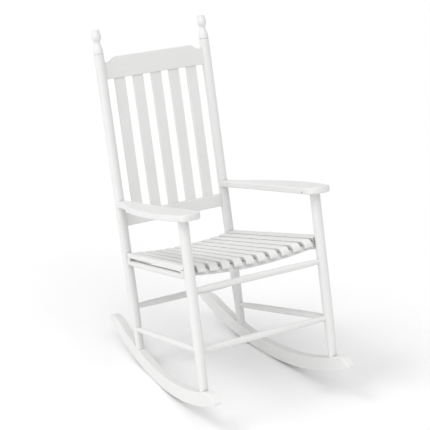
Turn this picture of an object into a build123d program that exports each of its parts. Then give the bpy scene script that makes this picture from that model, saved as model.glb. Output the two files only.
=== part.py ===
from build123d import *
import os
from math import asin, atan2, cos, radians, sin

# A porch rocking chair with turned posts. Millimetres, +Z up.
# The sitter faces -Y, so +X is the sitter's left. The floor is Z = 0.

# ---- driving dimensions ----------------------------------------------------
POST_RADIUS = 17.5
FOOT_RADIUS = 14.5
FOOT_TAPER_LENGTH = 150.0
FOOT_TENON_RADIUS = 9.0
FOOT_TENON_DEPTH = 24.0

REAR_POST_X = 210.5
REAR_FOOT_Y = 162.45
REAR_RAKE = 14.85
REAR_POST_HEIGHT = 1129.0
FINIAL_HEIGHT = 84.5
FINIAL_RADIUS = 16.7
FRONT_POST_X = 254.0
FRONT_FOOT_Y = -361.55
FRONT_RAKE = 13.5

ROCKER_RADIUS = 1006.0
ROCKER_DEPTH = 48.0
ROCKER_WIDTH = 30.0
ROCKER_LOW_POINT_Y = 20.45
ROCKER_REAR_TIP_ANGLE = 22.6
ROCKER_REAR_NOSE_ANGLE = 18.0
ROCKER_FRONT_TIP_ANGLE = 28.8
ROCKER_FRONT_NOSE_ANGLE = 25.4
ROCKER_REAR_TIP_DEPTH = 16.0
ROCKER_FRONT_TIP_DEPTH = 7.0
ROCKER_TOP_EDGE_RADIUS = 2.5
ROCKER_UNDERSIDE_EDGE_RADIUS = 2.0

CREST_BOTTOM = 954.0
CREST_TOP = 1029.0
CREST_SHOULDER = 1013.0
CREST_FLAT_HALF = 141.0
CREST_SHOULDER_X = 182.0
LOWER_RAIL_BOTTOM = 437.0
LOWER_RAIL_TOP = 482.0
CREST_EDGE_RADIUS = 2.5
BACK_RAIL_THICKNESS = 18.0
BACK_RAIL_OFFSET = 2.0
BACK_RAIL_TENON = 8.0
BACK_SLAT_WIDTH = 40.0
BACK_SLAT_THICKNESS = 9.0
BACK_SLAT_PITCH = 71.5
BACK_SLAT_COUNT = 5
BACK_SLAT_TENON = 10.0

SEAT_SLOPE = 15.6
SEAT_FRONT_Y = -254.05
SEAT_FRONT_Z = 516.5
SEAT_DEPTH = 501.0
SEAT_FRONT_HALF = 267.0
SEAT_REAR_HALF = 222.0
FRONT_DISH_RADIUS = 2230.0
REAR_DISH_RADIUS = 1460.0
FRONT_RAIL_END_HEIGHT = 17.0
FRONT_RAIL_BELLY_RADIUS = 1620.0
REAR_RAIL_END_HEIGHT = 26.0
SEAT_RAIL_THICKNESS = 22.0
SEAT_SLAT_COUNT = 12
SEAT_SLAT_WIDTH = 30.5
SEAT_SLAT_THICKNESS = 17.0
SEAT_SLAT_FRONT_PITCH = 46.0
SEAT_SLAT_REAR_PITCH = 37.4
SLAT_NOSE_DROP = 8.0
SLAT_NOSE_REACH = 16.0
SLAT_EDGE_RADIUS = 3.0

ARM_SLOPE = 14.4
ARM_UNDERSIDE_Z = 682.5
ARM_THICKNESS = 22.0
ARM_OVERHANG = 62.0
ARM_EDGE_RADIUS = 4.0
ARM_INNER_X = -50.0
ARM_INNER_CORNER_RADIUS = 45.0
ARM_OUTER_FRONT_X = 33.5
ARM_OUTER_CORNER_RADIUS = 28.0
ARM_OUTER_SIDE = [(41, 20), (46, 100), (35, 260), (17, 350), (-7, 427)]
ARM_NOSE_HALF = 17.0
ARM_LIP_SETBACK = 10.0
ARM_TENON_RADIUS = 10.0
ARM_TENON_DEPTH = 14.0
ARM_NOSE_TENON_RADIUS = 7.5
ARM_NOSE_TENON_DEPTH = 10.0

STRETCHER_END_RADIUS = 8.5
STRETCHER_RADIUS = 10.5
STRETCHER_MIDDLE_RADIUS = 11.5
SOCKET_DEPTH = 8.0
FRONT_LOWER_STRETCHER = 136.5
FRONT_UPPER_STRETCHER = 334.0
REAR_STRETCHER = 149.0
SIDE_LOWER_REAR = 67.0
SIDE_LOWER_FRONT = 136.5
SIDE_UPPER_REAR = 309.0
SIDE_UPPER_FRONT = 380.5

SLAT_SCREW_GRIP = 11.0
SEAT_SCREW_LENGTH = 46.0
ROCKER_SCREW_DROP = 42.0
ROCKER_SCREW_LENGTH = 78.0
ARM_SCREW_LENGTH = 85.0

# ---- frames ----------------------------------------------------------------
TOE = atan2(FRONT_POST_X - REAR_POST_X, REAR_FOOT_Y - FRONT_FOOT_Y)
ROCKER_MID_X = REAR_POST_X + (REAR_FOOT_Y - ROCKER_LOW_POINT_Y) * (FRONT_POST_X - REAR_POST_X) / (
    REAR_FOOT_Y - FRONT_FOOT_Y
)


def rocker_top_z(y):
    """Height of the rocker's top edge at a distance y along the chair."""
    along = (y - ROCKER_LOW_POINT_Y) / cos(TOE)
    top_radius = ROCKER_RADIUS - ROCKER_DEPTH
    return ROCKER_RADIUS - top_radius * cos(asin(along / top_radius))


def raked_plane(x, y, z, rake):
    """A frame whose Z runs up a post that leans back by rake degrees."""
    tilt = radians(rake)
    return Plane(origin=(x, y, z), x_dir=(1, 0, 0), z_dir=(0, sin(tilt), cos(tilt)))


BACK = raked_plane(0, REAR_FOOT_Y, rocker_top_z(REAR_FOOT_Y), REAR_RAKE)
REAR_AXIS = raked_plane(REAR_POST_X, REAR_FOOT_Y, rocker_top_z(REAR_FOOT_Y), REAR_RAKE)
FRONT_AXIS = raked_plane(FRONT_POST_X, FRONT_FOOT_Y, rocker_top_z(FRONT_FOOT_Y), FRONT_RAKE)
FRONT_POST_HEIGHT = (ARM_UNDERSIDE_Z - rocker_top_z(FRONT_FOOT_Y)) / cos(radians(FRONT_RAKE))
ARM = raked_plane(
    FRONT_POST_X,
    FRONT_FOOT_Y + FRONT_POST_HEIGHT * sin(radians(FRONT_RAKE)),
    ARM_UNDERSIDE_Z,
    ARM_SLOPE,
)
SEAT = raked_plane(0, SEAT_FRONT_Y, SEAT_FRONT_Z, SEAT_SLOPE)


def on_axis(axis_plane, height):
    return axis_plane.from_local_coords((0, 0, height))


# ---- shape helpers ---------------------------------------------------------
def one_solid(shape):
    """The single solid of a finished piece."""
    solids = shape.solids()
    assert len(solids) == 1, f"{len(solids)} solids"
    return solids[0]


def mirrored(shape):
    return mirror(shape, about=Plane.YZ)


def turned(outline):
    """A solid of revolution about Z from (radius, height) corners."""
    corners = [(0, outline[0][1])] + list(outline) + [(0, outline[-1][1])]
    return revolve(make_face(Plane.XZ * Polyline(*corners, close=True)), Axis.Z)


def rod(start, end, radius):
    """A straight round rod between two points."""
    run = end - start
    frame = Plane(origin=start, z_dir=run)
    return frame.location * Cylinder(radius, run.length, align=(Align.CENTER, Align.CENTER, Align.MIN))


def board(width, thickness, length, edge_radius):
    """A board that stands on Z = 0, with its long edges eased."""
    blank = Box(width, thickness, length, align=(Align.CENTER, Align.CENTER, Align.MIN))
    return fillet(blank.edges().filter_by(Axis.Z), edge_radius)


# ---- rockers ---------------------------------------------------------------
def rocker_frame():
    along = Vector(-sin(TOE), cos(TOE), 0)
    return Plane(origin=(ROCKER_MID_X, ROCKER_LOW_POINT_Y, 0), x_dir=along, z_dir=(cos(TOE), sin(TOE), 0))


def rocker_point(angle, depth):
    """A point of the side outline, depth above the underside at an angle from the low point."""
    radius = ROCKER_RADIUS - depth
    return (radius * sin(radians(angle)), ROCKER_RADIUS - radius * cos(radians(angle)))


def rocker_blank(width):
    """The bent runner: concentric edges, with the top rounded down to each tip."""
    front = -ROCKER_FRONT_TIP_ANGLE
    rear = ROCKER_REAR_TIP_ANGLE
    underside = ThreePointArc(rocker_point(front, 0), rocker_point(0, 0), rocker_point(rear, 0))
    rear_end = Line(rocker_point(rear, 0), rocker_point(rear, ROCKER_REAR_TIP_DEPTH))
    top_rear = rocker_point(ROCKER_REAR_NOSE_ANGLE, ROCKER_DEPTH)
    top_front = rocker_point(-ROCKER_FRONT_NOSE_ANGLE, ROCKER_DEPTH)
    rear_heading = (cos(radians(ROCKER_REAR_NOSE_ANGLE)), sin(radians(ROCKER_REAR_NOSE_ANGLE)))
    front_heading = (-cos(radians(ROCKER_FRONT_NOSE_ANGLE)), sin(radians(ROCKER_FRONT_NOSE_ANGLE)))
    rear_nose = TangentArc(top_rear, rocker_point(rear, ROCKER_REAR_TIP_DEPTH), tangent=rear_heading)
    top = ThreePointArc(top_rear, rocker_point(0, ROCKER_DEPTH), top_front)
    front_nose = TangentArc(top_front, rocker_point(front, ROCKER_FRONT_TIP_DEPTH), tangent=front_heading)
    front_end = Line(rocker_point(front, ROCKER_FRONT_TIP_DEPTH), rocker_point(front, 0))
    outline = make_face([underside, rear_end, rear_nose, top, front_nose, front_end])
    return extrude(outline, amount=width / 2, both=True)


def make_rocker():
    blank = rocker_blank(ROCKER_WIDTH)
    rims = blank.edges().filter_by(GeomType.CIRCLE).group_by(SortBy.LENGTH)
    upper = [edge for group in rims[:-1] for edge in group]
    eased = fillet(upper, ROCKER_TOP_EDGE_RADIUS)
    arcs = eased.edges().filter_by(GeomType.CIRCLE)
    low = [edge for edge in arcs if abs(edge.radius - ROCKER_RADIUS) < 0.01]
    return rocker_frame().location * fillet(low, ROCKER_UNDERSIDE_EDGE_RADIUS)


# ---- posts -----------------------------------------------------------------
def foot_outline():
    below = -FOOT_TENON_DEPTH
    return [(FOOT_RADIUS, below), (FOOT_RADIUS, 0), (POST_RADIUS, FOOT_TAPER_LENGTH)]


def finial(base):
    """Ring groove, shoulder, neck and acorn at the head of a rear post, above height base."""
    groove = 1.8
    neck = 10.5
    neck_height = base + 42.0
    top = base + FINIAL_HEIGHT
    curve = [
        Line((0, base - 20), (POST_RADIUS, base - 20)),
        Line((POST_RADIUS, base - 20), (POST_RADIUS, base - groove)),
        ThreePointArc(
            (POST_RADIUS, base - groove), (POST_RADIUS - groove, base), (POST_RADIUS, base + groove)
        ),
        Spline(
            (POST_RADIUS, base + groove),
            (POST_RADIUS - 2.2, base + 20.0),
            (neck, neck_height),
            tangents=[(0, 1), (0, 1)],
        ),
        Line((neck, neck_height), (neck, neck_height + 1.5)),
        Spline(
            (neck, neck_height + 1.5),
            (FINIAL_RADIUS - 1.8, base + 50.0),
            (FINIAL_RADIUS, base + 62.0),
            (FINIAL_RADIUS - 3.2, base + 76.5),
            (0, top),
            tangents=[(1, 0.6), (-1, 0)],
        ),
        Line((0, top), (0, base - 20)),
    ]
    return revolve(make_face([Plane.XZ * piece for piece in curve]), Axis.Z)


def make_rear_shaft():
    head = REAR_POST_HEIGHT - FINIAL_HEIGHT
    shaft = turned(foot_outline() + [(POST_RADIUS, head - 15)]) + finial(head)
    return REAR_AXIS.location * shaft - wide_rocker


def make_front_shaft():
    shaft = turned(foot_outline() + [(POST_RADIUS, FRONT_POST_HEIGHT + 6)])
    above_arm = ARM.location * Box(120, 120, 60, align=(Align.CENTER, Align.CENTER, Align.MIN))
    return FRONT_AXIS.location * shaft - wide_rocker - above_arm


def foot_tenon(axis_plane):
    return rod(on_axis(axis_plane, -FOOT_TENON_DEPTH), on_axis(axis_plane, 12), FOOT_TENON_RADIUS)


# ---- stretchers ------------------------------------------------------------
def make_stretcher(start, end):
    """A turned rod between two post axes, fullest in the middle, its ends let into the posts."""
    run = end - start
    inset = POST_RADIUS - SOCKET_DEPTH
    length = run.length - 2 * inset
    bare = SOCKET_DEPTH + 2
    quarter = length / 4
    outline = [
        (STRETCHER_END_RADIUS, 0),
        (STRETCHER_END_RADIUS, bare),
        (STRETCHER_RADIUS, bare + 32),
        (STRETCHER_MIDDLE_RADIUS, quarter),
        (STRETCHER_MIDDLE_RADIUS, length - quarter),
        (STRETCHER_RADIUS, length - bare - 32),
        (STRETCHER_END_RADIUS, length - bare),
        (STRETCHER_END_RADIUS, length),
    ]
    frame = Plane(origin=start + run.normalized() * inset, z_dir=run)
    return frame.location * turned(outline)


def cross_stretcher(axis_plane, height):
    left = on_axis(axis_plane, height)
    return make_stretcher(Vector(-left.X, left.Y, left.Z), left)


def side_stretcher(rear_height, front_height):
    return make_stretcher(on_axis(REAR_AXIS, rear_height), on_axis(FRONT_AXIS, front_height))


# ---- back ------------------------------------------------------------------
def back_place(shape):
    """Moves a piece modelled in the plane of the back to its place in the chair."""
    return BACK.location * shape


def rail_tenon(low, high):
    length = 2 * (REAR_POST_X - POST_RADIUS + BACK_RAIL_TENON)
    tenon = Box(length, BACK_RAIL_THICKNESS - 6, high - low - 12)
    return Pos(0, BACK_RAIL_OFFSET, (low + high) / 2) * tenon


def make_crest():
    """A board whose flat top falls in a shallow ogee to a shoulder at each post."""
    middle_x = (CREST_FLAT_HALF + CREST_SHOULDER_X) / 2
    middle_z = (CREST_TOP + CREST_SHOULDER) / 2
    edges = []
    for side in (1, -1):
        edges += [
            TangentArc((side * CREST_FLAT_HALF, CREST_TOP), (side * middle_x, middle_z), tangent=(side, 0)),
            TangentArc(
                (side * CREST_SHOULDER_X, CREST_SHOULDER), (side * middle_x, middle_z), tangent=(-side, 0)
            ),
            Line((side * CREST_SHOULDER_X, CREST_SHOULDER), (side * REAR_POST_X, CREST_SHOULDER)),
            Line((side * REAR_POST_X, CREST_SHOULDER), (side * REAR_POST_X, CREST_BOTTOM)),
        ]
    edges.append(Line((-CREST_FLAT_HALF, CREST_TOP), (CREST_FLAT_HALF, CREST_TOP)))
    edges.append(Line((-REAR_POST_X, CREST_BOTTOM), (REAR_POST_X, CREST_BOTTOM)))
    outline = make_face([Plane.XZ * edge for edge in edges])
    blank = extrude(outline, amount=BACK_RAIL_THICKNESS / 2, both=True)
    rims = [
        edge
        for edge in blank.edges()
        if abs(edge.tangent_at(0.5).Y) < 0.1 and abs(edge.center().X) < REAR_POST_X - 1
    ]
    return Pos(0, BACK_RAIL_OFFSET, 0) * fillet(rims, CREST_EDGE_RADIUS)


def make_lower_back_rail():
    height = LOWER_RAIL_TOP - LOWER_RAIL_BOTTOM
    blank = Rot(0, 90, 0) * Pos(0, 0, -REAR_POST_X) * board(
        height, BACK_RAIL_THICKNESS, 2 * REAR_POST_X, 3.0
    )
    return Pos(0, BACK_RAIL_OFFSET, LOWER_RAIL_BOTTOM + height / 2) * blank


def make_back_slat(x):
    low = LOWER_RAIL_TOP - BACK_SLAT_TENON
    length = CREST_BOTTOM + BACK_SLAT_TENON - low
    return Pos(x, BACK_RAIL_OFFSET, low) * board(BACK_SLAT_WIDTH, BACK_SLAT_THICKNESS, length, 2.0)


# ---- seat ------------------------------------------------------------------
def dish(x, half, radius):
    """Height of a dished rail's top at x, zero at its ends."""
    centre = (radius**2 - half**2) ** 0.5
    return centre - (radius**2 - x**2) ** 0.5


def make_seat_rail(half, top_radius, end_height, belly_radius, start):
    """A crescent board across the seat, from start along the seat's depth."""
    top = ThreePointArc((-half, 0), (0, dish(0, half, top_radius)), (half, 0))
    belly_middle = dish(0, half, belly_radius) - end_height
    belly = ThreePointArc((-half, -end_height), (0, belly_middle), (half, -end_height))
    ends = [Line((side * half, 0), (side * half, -end_height)) for side in (1, -1)]
    outline = make_face([Plane.XZ * edge for edge in (top, belly, *ends)])
    half_rail = SEAT_RAIL_THICKNESS / 2
    return SEAT.location * Pos(0, start + half_rail, 0) * extrude(outline, amount=half_rail, both=True)


def slat_frame(index):
    """A frame on the underside of one seat slat: origin at the front rail, +Y to the rear."""
    step = index - (SEAT_SLAT_COUNT - 1) / 2
    front_x = step * SEAT_SLAT_FRONT_PITCH
    rear_x = step * SEAT_SLAT_REAR_PITCH
    front = Vector(front_x, 0, dish(front_x, SEAT_FRONT_HALF, FRONT_DISH_RADIUS))
    rear = Vector(rear_x, SEAT_DEPTH, dish(rear_x, SEAT_REAR_HALF, REAR_DISH_RADIUS))
    tilt = (asin(front_x / FRONT_DISH_RADIUS) + asin(rear_x / REAR_DISH_RADIUS)) / 2
    along = (rear - front).normalized()
    across = Vector(cos(tilt), 0, sin(tilt))
    normal = across.cross(along).normalized()
    local = Plane(origin=front, x_dir=along.cross(normal), z_dir=normal)
    return SEAT.location * local.location


def make_seat_slat(index):
    """A slat from front to rear. All but the outer two roll down over the front rail."""
    nose = SEAT_SLAT_THICKNESS + SLAT_NOSE_DROP
    rear = SEAT_DEPTH
    if index in (0, SEAT_SLAT_COUNT - 1):
        low_front = (Align.CENTER, Align.MIN, Align.MIN)
        blank = Box(SEAT_SLAT_WIDTH, rear, SEAT_SLAT_THICKNESS, align=low_front)
        rims = blank.edges().filter_by(Axis.Y)
        return slat_frame(index) * fillet(rims, SLAT_EDGE_RADIUS)
    hollow = nose - SLAT_NOSE_REACH
    edges = [
        Line((rear, 0), (0, 0)),
        Line((0, 0), (0, -SLAT_NOSE_DROP)),
        Line((0, -SLAT_NOSE_DROP), (hollow - nose, -SLAT_NOSE_DROP)),
        RadiusArc((hollow - nose, -SLAT_NOSE_DROP), (hollow, SEAT_SLAT_THICKNESS), nose),
        Line((hollow, SEAT_SLAT_THICKNESS), (rear, SEAT_SLAT_THICKNESS)),
        Line((rear, SEAT_SLAT_THICKNESS), (rear, 0)),
    ]
    outline = make_face([Plane.YZ * edge for edge in edges])
    blank = extrude(outline, amount=SEAT_SLAT_WIDTH / 2, both=True)
    rims = [
        edge
        for edge in blank.edges()
        if abs(edge.tangent_at(0.5).X) < 0.1
        and (edge.geom_type == GeomType.CIRCLE or edge.length > rear / 2)
    ]
    return slat_frame(index) * fillet(rims, SLAT_EDGE_RADIUS)


# ---- arms ------------------------------------------------------------------
def make_arm_blank():
    """The paddle: straight inside, swelling outside, narrowing to a nose at the rear post."""
    nose_x = REAR_POST_X - FRONT_POST_X
    rear_end = arm_length() - ARM_LIP_SETBACK
    front = -ARM_OVERHANG
    outer_front = ARM_OUTER_FRONT_X
    outer_corner = front + ARM_OUTER_CORNER_RADIUS
    inner_corner = front + ARM_INNER_CORNER_RADIUS
    edges = [
        Line((ARM_INNER_X, 320), (ARM_INNER_X, inner_corner)),
        TangentArc(
            (ARM_INNER_X, inner_corner), (ARM_INNER_X + ARM_INNER_CORNER_RADIUS, front), tangent=(0, -1)
        ),
        Line(
            (ARM_INNER_X + ARM_INNER_CORNER_RADIUS, front), (outer_front - ARM_OUTER_CORNER_RADIUS, front)
        ),
        TangentArc(
            (outer_front - ARM_OUTER_CORNER_RADIUS, front), (outer_front, outer_corner), tangent=(1, 0)
        ),
        Spline(
            (outer_front, outer_corner),
            *ARM_OUTER_SIDE,
            (nose_x + ARM_NOSE_HALF, rear_end),
            tangents=[(0, 1), (-0.05, 1)],
        ),
        Line((nose_x + ARM_NOSE_HALF, rear_end), (nose_x - ARM_NOSE_HALF, rear_end)),
        Spline((nose_x - ARM_NOSE_HALF, rear_end), (ARM_INNER_X, 320), tangents=[(0, -1), (0, -1)]),
    ]
    blank = extrude(make_face(edges), amount=ARM_THICKNESS)
    flat = [edge for edge in blank.edges() if abs(edge.tangent_at(0.5).Z) < 0.1]
    rims = [edge for edge in flat if edge.center().Y < rear_end - 1]
    return ARM.location * fillet(rims, ARM_EDGE_RADIUS)


def arm_length():
    """Distance along the arm from the front post's axis to the rear post's axis."""
    tilt = radians(ARM_SLOPE)
    rake = radians(REAR_RAKE)
    dy = REAR_FOOT_Y - ARM.origin.Y
    dz = rocker_top_z(REAR_FOOT_Y) - ARM.origin.Z
    # the rear axis y = dy + t sin(rake), z = dz + t cos(rake) meets the arm's mid-plane
    rise = ARM_THICKNESS / 2
    t = (rise - dy * sin(tilt) - dz * cos(tilt)) / (sin(rake) * sin(tilt) + cos(rake) * cos(tilt))
    return (dy + t * sin(rake)) * cos(tilt) - (dz + t * cos(rake)) * sin(tilt)


# ---- fasteners -------------------------------------------------------------
def wood_screw(shank_radius, head_radius, length):
    """A countersunk screw along Z: head at Z = 0, point at Z = length."""
    head = head_radius - shank_radius
    point = 2 * shank_radius
    return turned([(head_radius, 0), (shank_radius, head), (shank_radius, length - point), (0.3, length)])


def slat_screw(index, rear):
    """Goes up through a seat rail into one slat."""
    half_rail = SEAT_RAIL_THICKNESS / 2
    along = SEAT_DEPTH - half_rail if rear else half_rail
    if rear:
        depth = REAR_RAIL_END_HEIGHT
    else:
        x = (index - (SEAT_SLAT_COUNT - 1) / 2) * SEAT_SLAT_FRONT_PITCH
        belly = dish(x, SEAT_FRONT_HALF, FRONT_RAIL_BELLY_RADIUS)
        depth = FRONT_RAIL_END_HEIGHT + dish(x, SEAT_FRONT_HALF, FRONT_DISH_RADIUS) - belly
    return slat_frame(index) * Pos(0, along, 0.6 - depth) * wood_screw(1.9, 3.8, depth + SLAT_SCREW_GRIP)


def seat_screw(along):
    """Goes up through a side stretcher and a seat rail into the outermost slat."""
    rear = SEAT.to_local_coords(on_axis(REAR_AXIS, SIDE_UPPER_REAR))
    front = SEAT.to_local_coords(on_axis(FRONT_AXIS, SIDE_UPPER_FRONT))
    centre = front + (rear - front) * ((along - front.Y) / (rear.Y - front.Y))
    head = centre - Vector(0, 0, STRETCHER_RADIUS - 1)
    return SEAT.location * Pos(head.X, head.Y, head.Z) * wood_screw(2.2, 4.2, SEAT_SCREW_LENGTH)


def rocker_screw(axis_plane):
    """Goes up through a rocker into the foot of a post, its head sunk in the underside."""
    return axis_plane.location * Pos(0, 0, -ROCKER_SCREW_DROP) * wood_screw(3.0, 5.5, ROCKER_SCREW_LENGTH)


def rocker_screw_recess(axis_plane):
    low = on_axis(axis_plane, -ROCKER_SCREW_DROP - 30)
    return rod(low, on_axis(axis_plane, -ROCKER_SCREW_DROP), 6.0)


def arm_screw():
    """Goes through a rear post into the end grain of an arm."""
    head = arm_length() + POST_RADIUS - 2
    place = Pos(REAR_POST_X - FRONT_POST_X, head, ARM_THICKNESS / 2) * Rot(90, 0, 0)
    return ARM.location * place * wood_screw(2.4, 4.8, ARM_SCREW_LENGTH)


def arm_pin():
    """A dowel through the side of an arm that locks the front post's tenon."""
    place = Pos(ARM_INNER_X - 0.5, 0, ARM_TENON_DEPTH / 2) * Rot(0, 90, 0)
    return ARM.location * place * Cylinder(3.0, 58, align=(Align.CENTER, Align.CENTER, Align.MIN))


# ---- the left half and the middle, each piece cut to fit its neighbours ----
wide_rocker = rocker_frame().location * rocker_blank(80)
rear_shaft = make_rear_shaft()
front_shaft = make_front_shaft()
rear_tenon = foot_tenon(REAR_AXIS)
front_tenon = foot_tenon(FRONT_AXIS)
arm_tenon = rod(
    on_axis(FRONT_AXIS, FRONT_POST_HEIGHT - 10),
    on_axis(FRONT_AXIS, FRONT_POST_HEIGHT + ARM_TENON_DEPTH),
    ARM_TENON_RADIUS,
)
nose_centre = Vector(REAR_POST_X - FRONT_POST_X, arm_length(), ARM_THICKNESS / 2)
nose_tenon = rod(
    ARM.from_local_coords(nose_centre - Vector(0, POST_RADIUS + 20, 0)),
    ARM.from_local_coords(nose_centre - Vector(0, POST_RADIUS - ARM_NOSE_TENON_DEPTH, 0)),
    ARM_NOSE_TENON_RADIUS,
)
arm_blank = make_arm_blank()

side_lower = side_stretcher(SIDE_LOWER_REAR, SIDE_LOWER_FRONT)
side_upper = side_stretcher(SIDE_UPPER_REAR, SIDE_UPPER_FRONT)
front_lower = cross_stretcher(FRONT_AXIS, FRONT_LOWER_STRETCHER)
front_upper = cross_stretcher(FRONT_AXIS, FRONT_UPPER_STRETCHER)
rear_cross = cross_stretcher(REAR_AXIS, REAR_STRETCHER)

crest_tenon = back_place(rail_tenon(CREST_BOTTOM, CREST_SHOULDER))
lower_tenon = back_place(rail_tenon(LOWER_RAIL_BOTTOM, LOWER_RAIL_TOP))
slat_offsets = [(i - (BACK_SLAT_COUNT - 1) / 2) * BACK_SLAT_PITCH for i in range(BACK_SLAT_COUNT)]
back_slats = [back_place(make_back_slat(x)) for x in slat_offsets]
seat_slats = [make_seat_slat(i) for i in range(SEAT_SLAT_COUNT)]
middle_slats = range(1, SEAT_SLAT_COUNT - 1)
slat_screws = [slat_screw(i, rear) for rear in (False, True) for i in middle_slats]
rail_centres = (SEAT_RAIL_THICKNESS / 2, SEAT_DEPTH - SEAT_RAIL_THICKNESS / 2)
left_seat_screws = [seat_screw(along) for along in rail_centres]
seat_screws = left_seat_screws + [mirrored(screw) for screw in left_seat_screws]
rocker_screws = [rocker_screw(REAR_AXIS), rocker_screw(FRONT_AXIS)]
recesses = [rocker_screw_recess(REAR_AXIS), rocker_screw_recess(FRONT_AXIS)]

rear_post = rear_shaft + rear_tenon - crest_tenon - lower_tenon - nose_tenon
rear_post = rear_post - side_lower - side_upper - rear_cross - rocker_screws[0] - arm_screw()
screw_sink = nose_centre + Vector(0, POST_RADIUS - 2, 0)
rear_post = rear_post - rod(
    ARM.from_local_coords(screw_sink), ARM.from_local_coords(screw_sink + Vector(0, 10, 0)), 5.2
)
front_post = front_shaft + front_tenon + arm_tenon - arm_pin()
front_post = front_post - side_lower - side_upper - front_lower - front_upper - rocker_screws[1]
arm = arm_blank - rear_shaft + nose_tenon - arm_tenon - arm_screw() - arm_pin()
rocker = make_rocker() - rear_tenon - front_tenon - rocker_screws - recesses
side_upper_cut = side_upper - left_seat_screws

both_rear_shafts = [rear_shaft, mirrored(rear_shaft)]
both_front_shafts = [front_shaft, mirrored(front_shaft)]
saddle = side_upper + Pos(0, 0, -8) * side_upper
saddles = [saddle, mirrored(saddle)]
crest = back_place(make_crest()) - both_rear_shafts + crest_tenon - back_slats
lower_rail = back_place(make_lower_back_rail()) - both_rear_shafts + lower_tenon - back_slats
front_rail = make_seat_rail(
    SEAT_FRONT_HALF, FRONT_DISH_RADIUS, FRONT_RAIL_END_HEIGHT, FRONT_RAIL_BELLY_RADIUS, 0
)
rear_rail = make_seat_rail(
    SEAT_REAR_HALF,
    REAR_DISH_RADIUS,
    REAR_RAIL_END_HEIGHT,
    REAR_DISH_RADIUS,
    SEAT_DEPTH - SEAT_RAIL_THICKNESS,
)
front_rail = front_rail - seat_slats - saddles - slat_screws - seat_screws - both_front_shafts
rear_rail = rear_rail - seat_slats - saddles - slat_screws - seat_screws

# ---- the nodes -------------------------------------------------------------
nodes = {
    "crest_rail": crest,
    "lower_back_rail": lower_rail,
    "seat_front_rail": front_rail,
    "seat_rear_rail": rear_rail,
    "front_stretcher_upper": front_upper,
    "front_stretcher_lower": front_lower,
    "rear_stretcher": rear_cross,
}
for name, left in {
    "rear_post": rear_post,
    "front_post": front_post,
    "arm": arm,
    "rocker": rocker,
    "side_stretcher_upper": side_upper_cut,
    "side_stretcher_lower": side_lower,
}.items():
    nodes[name + "_left"] = left
    nodes[name + "_right"] = mirrored(left)
for i, slat in enumerate(back_slats):
    nodes[f"back_slat_{i + 1}"] = slat
for i, slat in enumerate(seat_slats):
    nodes[f"seat_slat_{i + 1:02d}"] = (
        slat - slat_screws - seat_screws - both_front_shafts - both_rear_shafts
    )
nodes = {name: one_solid(piece) for name, piece in nodes.items()}

left_groups = {
    "rocker_screws": rocker_screws,
    "arm_screws": [arm_screw()],
    "arm_tenon_pins": [arm_pin()],
}
groups = {name: left + [mirrored(piece) for piece in left] for name, left in left_groups.items()}
groups["slat_screws"] = slat_screws
groups["seat_screws"] = seat_screws
for name, pieces in groups.items():
    nodes[name] = Compound(children=[one_solid(piece) for piece in pieces])

os.makedirs("parts", exist_ok=True)
for name, shape in nodes.items():
    export_step(shape, f"parts/{name}.step")
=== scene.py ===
from math import cos, radians, sin

import bpy
from mathutils import Matrix, Vector

# A white porch rocking chair on a pale floor. Metres, +Z up, the sitter faces -Y.

# ---- camera and size -------------------------------------------------------
CAMERA_AZIMUTH = 30.72
CAMERA_ELEVATION = 20.96
CAMERA_DISTANCE = 5.424
CAMERA_TARGET = Vector((-0.0162, -0.0301, 0.5870))
CAMERA_LENS = 133.95
SENSOR_WIDTH = 36.0
CAMERA_CLIP_END = 100.0

# ---- how each piece's grain runs -------------------------------------------
REAR_RAKE = 14.85
FRONT_RAKE = 13.5
SEAT_SLOPE = 15.6
ARM_SLOPE = 14.4
SIDE_SLOPE = 14.8

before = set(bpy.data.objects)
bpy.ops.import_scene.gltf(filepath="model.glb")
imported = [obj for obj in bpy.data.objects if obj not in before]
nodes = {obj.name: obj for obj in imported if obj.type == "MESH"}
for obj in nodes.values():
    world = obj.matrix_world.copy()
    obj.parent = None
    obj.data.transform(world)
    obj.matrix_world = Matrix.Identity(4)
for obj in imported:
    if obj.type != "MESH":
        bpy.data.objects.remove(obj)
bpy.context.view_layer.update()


def up_the_post(rake):
    """The direction of a post that leans back by rake degrees."""
    return (0.0, sin(radians(rake)), cos(radians(rake)))


def down_the_seat(slope):
    """The direction of a seat or arm piece that drops towards the back by slope degrees."""
    return (0.0, cos(radians(slope)), -sin(radians(slope)))


GRAINS = {
    "rear_post": up_the_post(REAR_RAKE),
    "front_post": up_the_post(FRONT_RAKE),
    "back_slat": up_the_post(REAR_RAKE),
    "arm_left": down_the_seat(ARM_SLOPE),
    "arm_right": down_the_seat(ARM_SLOPE),
    "seat_slat": down_the_seat(SEAT_SLOPE),
    "rocker_left": (-0.08, 1.0, 0.0),
    "rocker_right": (0.08, 1.0, 0.0),
    "side_stretcher": down_the_seat(SIDE_SLOPE),
    "crest": (1.0, 0.0, 0.0),
    "lower_back_rail": (1.0, 0.0, 0.0),
    "seat_front_rail": (1.0, 0.0, 0.0),
    "seat_rear_rail": (1.0, 0.0, 0.0),
    "front_stretcher": (1.0, 0.0, 0.0),
    "rear_stretcher": (1.0, 0.0, 0.0),
}


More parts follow.
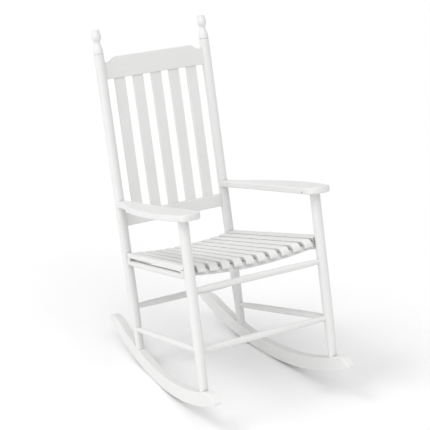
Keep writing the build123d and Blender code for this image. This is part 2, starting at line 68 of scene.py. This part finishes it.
# ---- node helpers ----------------------------------------------------------
class Tree:
    """A material's node tree, with short calls for the nodes used here."""

    def __init__(self, name):
        self.material = bpy.data.materials.new(name)
        self.material.use_nodes = True
        self.nodes = self.material.node_tree.nodes
        self.links = self.material.node_tree.links
        self.shader = self.nodes["Principled BSDF"]

    def add(self, kind, **settings):
        node = self.nodes.new(kind)
        for key, value in settings.items():
            setattr(node, key, value)
        return node

    def link(self, source, target):
        self.links.new(source, target)

    def math(self, operation, first, second=None, clamp=False):
        node = self.add("ShaderNodeMath", operation=operation, use_clamp=clamp)
        for socket, value in zip(node.inputs, (first, second)):
            if value is None:
                continue
            if isinstance(value, (int, float)):
                socket.default_value = value
            else:
                self.link(value, socket)
        return node.outputs["Value"]

    def vector(self, operation, first, second=None, scale=None):
        node = self.add("ShaderNodeVectorMath", operation=operation)
        operands = ((node.inputs[0], first), (node.inputs[1], second), (node.inputs[3], scale))
        for socket, value in operands:
            if value is None:
                continue
            if isinstance(value, (int, float, tuple)):
                socket.default_value = value
            else:
                self.link(value, socket)
        return node.outputs["Value"] if operation == "DOT_PRODUCT" else node.outputs["Vector"]

    def noise(self, vector, scale, detail=3.0, roughness=0.5):
        node = self.add("ShaderNodeTexNoise")
        node.inputs["Scale"].default_value = scale
        node.inputs["Detail"].default_value = detail
        node.inputs["Roughness"].default_value = roughness
        self.link(vector, node.inputs["Vector"])
        return node.outputs["Fac"]

    def remap(self, value, low, high, to_low=0.0, to_high=1.0):
        node = self.add("ShaderNodeMapRange", clamp=True)
        for socket, number in zip(node.inputs[1:5], (low, high, to_low, to_high)):
            socket.default_value = number
        self.link(value, node.inputs["Value"])
        return node.outputs["Result"]

    def mix(self, factor, first, second):
        node = self.add("ShaderNodeMix", data_type="RGBA")
        self.link(factor, node.inputs["Factor"])
        for socket, value in ((node.inputs["A"], first), (node.inputs["B"], second)):
            if isinstance(value, tuple):
                socket.default_value = value
            else:
                self.link(value, socket)
        return node.outputs["Result"]

    def bump(self, height, strength, distance, normal=None):
        node = self.add("ShaderNodeBump")
        node.inputs["Strength"].default_value = strength
        node.inputs["Distance"].default_value = distance
        self.link(height, node.inputs["Height"])
        if normal is not None:
            self.link(normal, node.inputs["Normal"])
        return node.outputs["Normal"]


def stretched(tree, grain, across, along):
    """Object coordinates scaled by across, but by along in the direction of the grain."""
    direction = Vector(grain).normalized().to_tuple()
    position = tree.add("ShaderNodeTexCoord").outputs["Object"]
    run = tree.vector("DOT_PRODUCT", position, direction)
    pull = tree.add("ShaderNodeCombineXYZ")
    for socket, part in zip(pull.inputs, direction):
        tree.link(tree.math("MULTIPLY", run, part * (along - across)), socket)
    return tree.vector("ADD", tree.vector("SCALE", position, scale=across), pull.outputs["Vector"])


# ---- materials -------------------------------------------------------------
PAINT = (0.775, 0.775, 0.77, 1.0)
PAINT_THIN = (0.70, 0.695, 0.68, 1.0)
# Dark colour for dirt in open end grain and for painted shade in creases and gaps.
PAINT_DIRT_AND_SHADE = (0.34, 0.335, 0.32, 1.0)
PAINT_IOR = 1.48
WORN_EDGE_RADIUS = 0.0016
# How far the painted shade reaches out of corners, creases and gaps.
PAINTED_SHADE_REACH = 0.022
# Longer reach on the seat front rail, so that it is painted darker where the seat slats' noses shade
# it.
RAIL_PAINTED_SHADE_REACH = 0.075
FIBRE_THINNING = 0.22
FIGURE_THINNING = 0.16
CLOUD_THINNING = 0.14
EDGE_WEAR = 0.45
END_GRAIN_DIRT = 0.34
# Strength of the painted shade in creases and gaps.
CREASE_SHADE_DARKENING = 0.75
ZINC = (0.62, 0.62, 0.63, 1.0)
ZINC_DULL = (0.40, 0.39, 0.37, 1.0)
BIRCH = (0.34, 0.31, 0.27, 1.0)
BIRCH_PORE = (0.20, 0.175, 0.15, 1.0)
FLOOR_PALE = (0.93, 0.93, 0.93, 1.0)
FLOOR_CLOUD = (0.90, 0.90, 0.90, 1.0)


def painted_wood(name, grain, shade_reach):
    """Satin white paint over wood: brushed, grain showing through, thin at edges, with painted shade in
    corners and creases.
    """
    tree = Tree(name)
    direction = Vector(grain).normalized().to_tuple()
    position = tree.add("ShaderNodeTexCoord").outputs["Object"]
    facing = tree.add("ShaderNodeNewGeometry").outputs["Normal"]

    fibres = tree.noise(stretched(tree, grain, 900.0, 22.0), 1.0, 4.0, 0.6)
    figure = tree.noise(stretched(tree, grain, 130.0, 7.0), 1.0, 3.0)
    brush = tree.noise(stretched(tree, grain, 420.0, 9.0), 1.0, 2.0)
    cloud = tree.noise(position, 9.0, 3.0)
    specks = tree.noise(position, 750.0, 2.0, 0.7)
    grit = tree.noise(position, 2200.0, 1.0)

    along_grain = tree.math("ABSOLUTE", tree.vector("DOT_PRODUCT", facing, direction))
    end_grain = tree.remap(along_grain, 0.45, 0.8)
    bevel = tree.add("ShaderNodeBevel", samples=4)
    bevel.inputs["Radius"].default_value = WORN_EDGE_RADIUS
    edge = tree.remap(tree.vector("DOT_PRODUCT", bevel.outputs["Normal"], facing), 0.995, 0.90)
    # Painted shade: ambient occlusion darkens the paint colour in corners, creases and the gaps between
    # parts.
    occlusion = tree.add("ShaderNodeAmbientOcclusion", samples=4)
    occlusion.inputs["Distance"].default_value = shade_reach
    crease_shade = tree.remap(occlusion.outputs["AO"], 0.72, 0.25)

    worn = tree.math("MULTIPLY", edge, tree.remap(cloud, 0.40, 0.62))
    thin = tree.math("MULTIPLY", tree.remap(fibres, 0.56, 0.72), FIBRE_THINNING)
    thin = tree.math("ADD", thin, tree.math("MULTIPLY", tree.remap(figure, 0.5, 0.75), FIGURE_THINNING))
    thin = tree.math("ADD", thin, tree.math("MULTIPLY", tree.remap(cloud, 0.4, 0.7), CLOUD_THINNING))
    thin = tree.math("ADD", thin, tree.math("MULTIPLY", worn, EDGE_WEAR), clamp=True)
    open_end = tree.math("MULTIPLY", end_grain, tree.remap(specks, 0.50, 0.66))
    end_dirt = tree.math("MULTIPLY", open_end, END_GRAIN_DIRT)
    # The end-grain specks are real dirt; the crease term is painted shade.
    crease_painted_shade = tree.math("MULTIPLY", crease_shade, CREASE_SHADE_DARKENING)
    dirt_and_shade = tree.math("ADD", end_dirt, crease_painted_shade, clamp=True)
    colour = tree.mix(thin, PAINT, PAINT_THIN)
    colour = tree.mix(dirt_and_shade, colour, PAINT_DIRT_AND_SHADE)
    tree.link(colour, tree.shader.inputs["Base Color"])

    rough = tree.remap(brush, 0.3, 0.7, 0.34, 0.46)
    rough = tree.math("ADD", rough, tree.math("MULTIPLY", open_end, 0.22))
    rough = tree.math("ADD", rough, tree.math("MULTIPLY", worn, 0.10))
    tree.link(rough, tree.shader.inputs["Roughness"])

    normal = tree.bump(figure, 0.30, 0.0006)
    normal = tree.bump(fibres, 0.30, 0.00035, normal)
    normal = tree.bump(brush, 0.25, 0.00025, normal)
    normal = tree.bump(open_end, 0.35, 0.0004, normal)
    normal = tree.bump(grit, 0.12, 0.00012, normal)
    tree.link(normal, tree.shader.inputs["Normal"])
    tree.shader.inputs["IOR"].default_value = PAINT_IOR
    tree.shader.inputs["Coat Weight"].default_value = 0.06
    tree.shader.inputs["Coat Roughness"].default_value = 0.28
    return tree.material


def zinc_steel():
    """Zinc-plated screw steel with turning marks and dull patches."""
    tree = Tree("zinc_plated_steel")
    position = tree.add("ShaderNodeTexCoord").outputs["Object"]
    cloud = tree.noise(position, 420.0, 4.0, 0.6)
    marks = tree.noise(stretched(tree, (0, 0, 1), 300.0, 5200.0), 1.0, 2.0)
    colour = tree.mix(tree.remap(cloud, 0.35, 0.7), ZINC, ZINC_DULL)
    tree.link(colour, tree.shader.inputs["Base Color"])
    tree.link(tree.remap(cloud, 0.3, 0.7, 0.28, 0.5), tree.shader.inputs["Roughness"])
    tree.link(tree.bump(marks, 0.25, 0.0001), tree.shader.inputs["Normal"])
    tree.shader.inputs["Metallic"].default_value = 1.0
    return tree.material


def dowel_wood():
    """End grain of a birch dowel, with thin paint rubbed into its pores."""
    tree = Tree("dowel_end_grain")
    position = tree.add("ShaderNodeTexCoord").outputs["Object"]
    pores = tree.noise(stretched(tree, (1, 0, 0), 2600.0, 260.0), 1.0, 3.0, 0.7)
    cloud = tree.noise(position, 300.0, 3.0)
    colour = tree.mix(tree.remap(pores, 0.42, 0.62), BIRCH, BIRCH_PORE)
    colour = tree.mix(tree.remap(cloud, 0.50, 0.75, 0.0, 0.5), colour, PAINT_THIN)
    tree.link(colour, tree.shader.inputs["Base Color"])
    tree.link(tree.remap(pores, 0.3, 0.7, 0.5, 0.7), tree.shader.inputs["Roughness"])
    tree.link(tree.bump(pores, 0.4, 0.0003), tree.shader.inputs["Normal"])
    return tree.material


def floor_material():
    """Seamless pale studio floor with a faint texture."""
    tree = Tree("studio_floor")
    position = tree.add("ShaderNodeTexCoord").outputs["Object"]
    cloud = tree.noise(position, 0.8, 3.0)
    fine = tree.noise(position, 220.0, 2.0)
    colour = tree.mix(tree.remap(cloud, 0.3, 0.7), FLOOR_PALE, FLOOR_CLOUD)
    tree.link(colour, tree.shader.inputs["Base Color"])
    tree.link(tree.bump(fine, 0.05, 0.0003), tree.shader.inputs["Normal"])
    tree.shader.inputs["Roughness"].default_value = 0.75
    return tree.material


# ---- finish on the frame's own pieces --------------------------------------
def dress(piece, material):
    """Give a piece of the frame its one material."""
    piece.data.materials.clear()
    piece.data.materials.append(material)


paints = {}
steel = zinc_steel()
dowel = dowel_wood()
for name, piece in nodes.items():
    if name.endswith("_screws"):
        dress(piece, steel)
        continue
    if name == "arm_tenon_pins":
        dress(piece, dowel)
        continue
    family = next(key for key in GRAINS if name.startswith(key))
    if family not in paints:
        # Painted shade: the seat front rail's longer reach darkens it where the seat noses shade it.
        reach = RAIL_PAINTED_SHADE_REACH if family == "seat_front_rail" else PAINTED_SHADE_REACH
        paints[family] = painted_wood(f"white_paint_{family}", GRAINS[family], reach)
    dress(piece, paints[family])


# ---- stage -----------------------------------------------------------------
FLOOR_SIZE = 60.0
WORLD_LIGHT = 0.50
BACKDROP_WHITE = 1.05


def plane(name, size, material):
    """A square at floor level, centred under the chair."""
    mesh = bpy.data.meshes.new(name)
    half = size / 2
    corners = [(-half, -half, 0), (half, -half, 0), (half, half, 0), (-half, half, 0)]
    mesh.from_pydata(corners, [], [(0, 1, 2, 3)])
    mesh.materials.append(material)
    obj = bpy.data.objects.new(name, mesh)
    bpy.context.scene.collection.objects.link(obj)
    return obj


floor = plane("studio_floor", FLOOR_SIZE, floor_material())


def soft_sun(name, towards, irradiance, angle):
    """A distant soft light, so that the whole floor is lit alike."""
    data = bpy.data.lights.new(name, "SUN")
    data.energy = irradiance
    data.angle = radians(angle)
    light = bpy.data.objects.new(name, data)
    light.rotation_euler = Vector(towards).to_track_quat("-Z", "Y").to_euler()
    bpy.context.scene.collection.objects.link(light)


soft_sun("key", (0.50, -0.22, -0.83), 0.85, 26.0)
soft_sun("fill_left", (0.90, 0.15, -0.42), 0.72, 60.0)
soft_sun("top_front", (0.05, 0.50, -0.86), 1.15, 50.0)


def studio_world():
    """Even light from all round, in front of a backdrop that looks as white as the floor."""
    world = bpy.data.worlds.new("studio")
    world.use_nodes = True
    tree = world.node_tree
    background = tree.nodes["Background"]
    background.inputs["Color"].default_value = (1.0, 1.0, 1.0, 1.0)
    path = tree.nodes.new("ShaderNodeLightPath")
    strength = tree.nodes.new("ShaderNodeMapRange")
    strength.inputs["To Min"].default_value = WORLD_LIGHT
    strength.inputs["To Max"].default_value = BACKDROP_WHITE
    tree.links.new(path.outputs["Is Camera Ray"], strength.inputs["Value"])
    tree.links.new(strength.outputs["Result"], background.inputs["Strength"])
    bpy.context.scene.world = world


studio_world()
bpy.context.scene.view_settings.view_transform = "Standard"


# ---- camera ----------------------------------------------------------------
def place_camera():
    """Stand off from the target at the camera's azimuth and elevation, and look at it."""
    data = bpy.data.cameras.new("camera")
    data.sensor_width = SENSOR_WIDTH
    data.lens = CAMERA_LENS
    data.clip_end = CAMERA_CLIP_END
    camera = bpy.data.objects.new("camera", data)
    azimuth = radians(CAMERA_AZIMUTH)
    elevation = radians(CAMERA_ELEVATION)
    level = cos(elevation)
    forward = Vector((sin(azimuth) * level, cos(azimuth) * level, -sin(elevation)))
    camera.matrix_world = Matrix.Translation(CAMERA_TARGET - forward * CAMERA_DISTANCE) @ (
        forward.to_track_quat("-Z", "Y").to_matrix().to_4x4()
    )
    bpy.context.scene.collection.objects.link(camera)
    bpy.context.scene.camera = camera


place_camera()
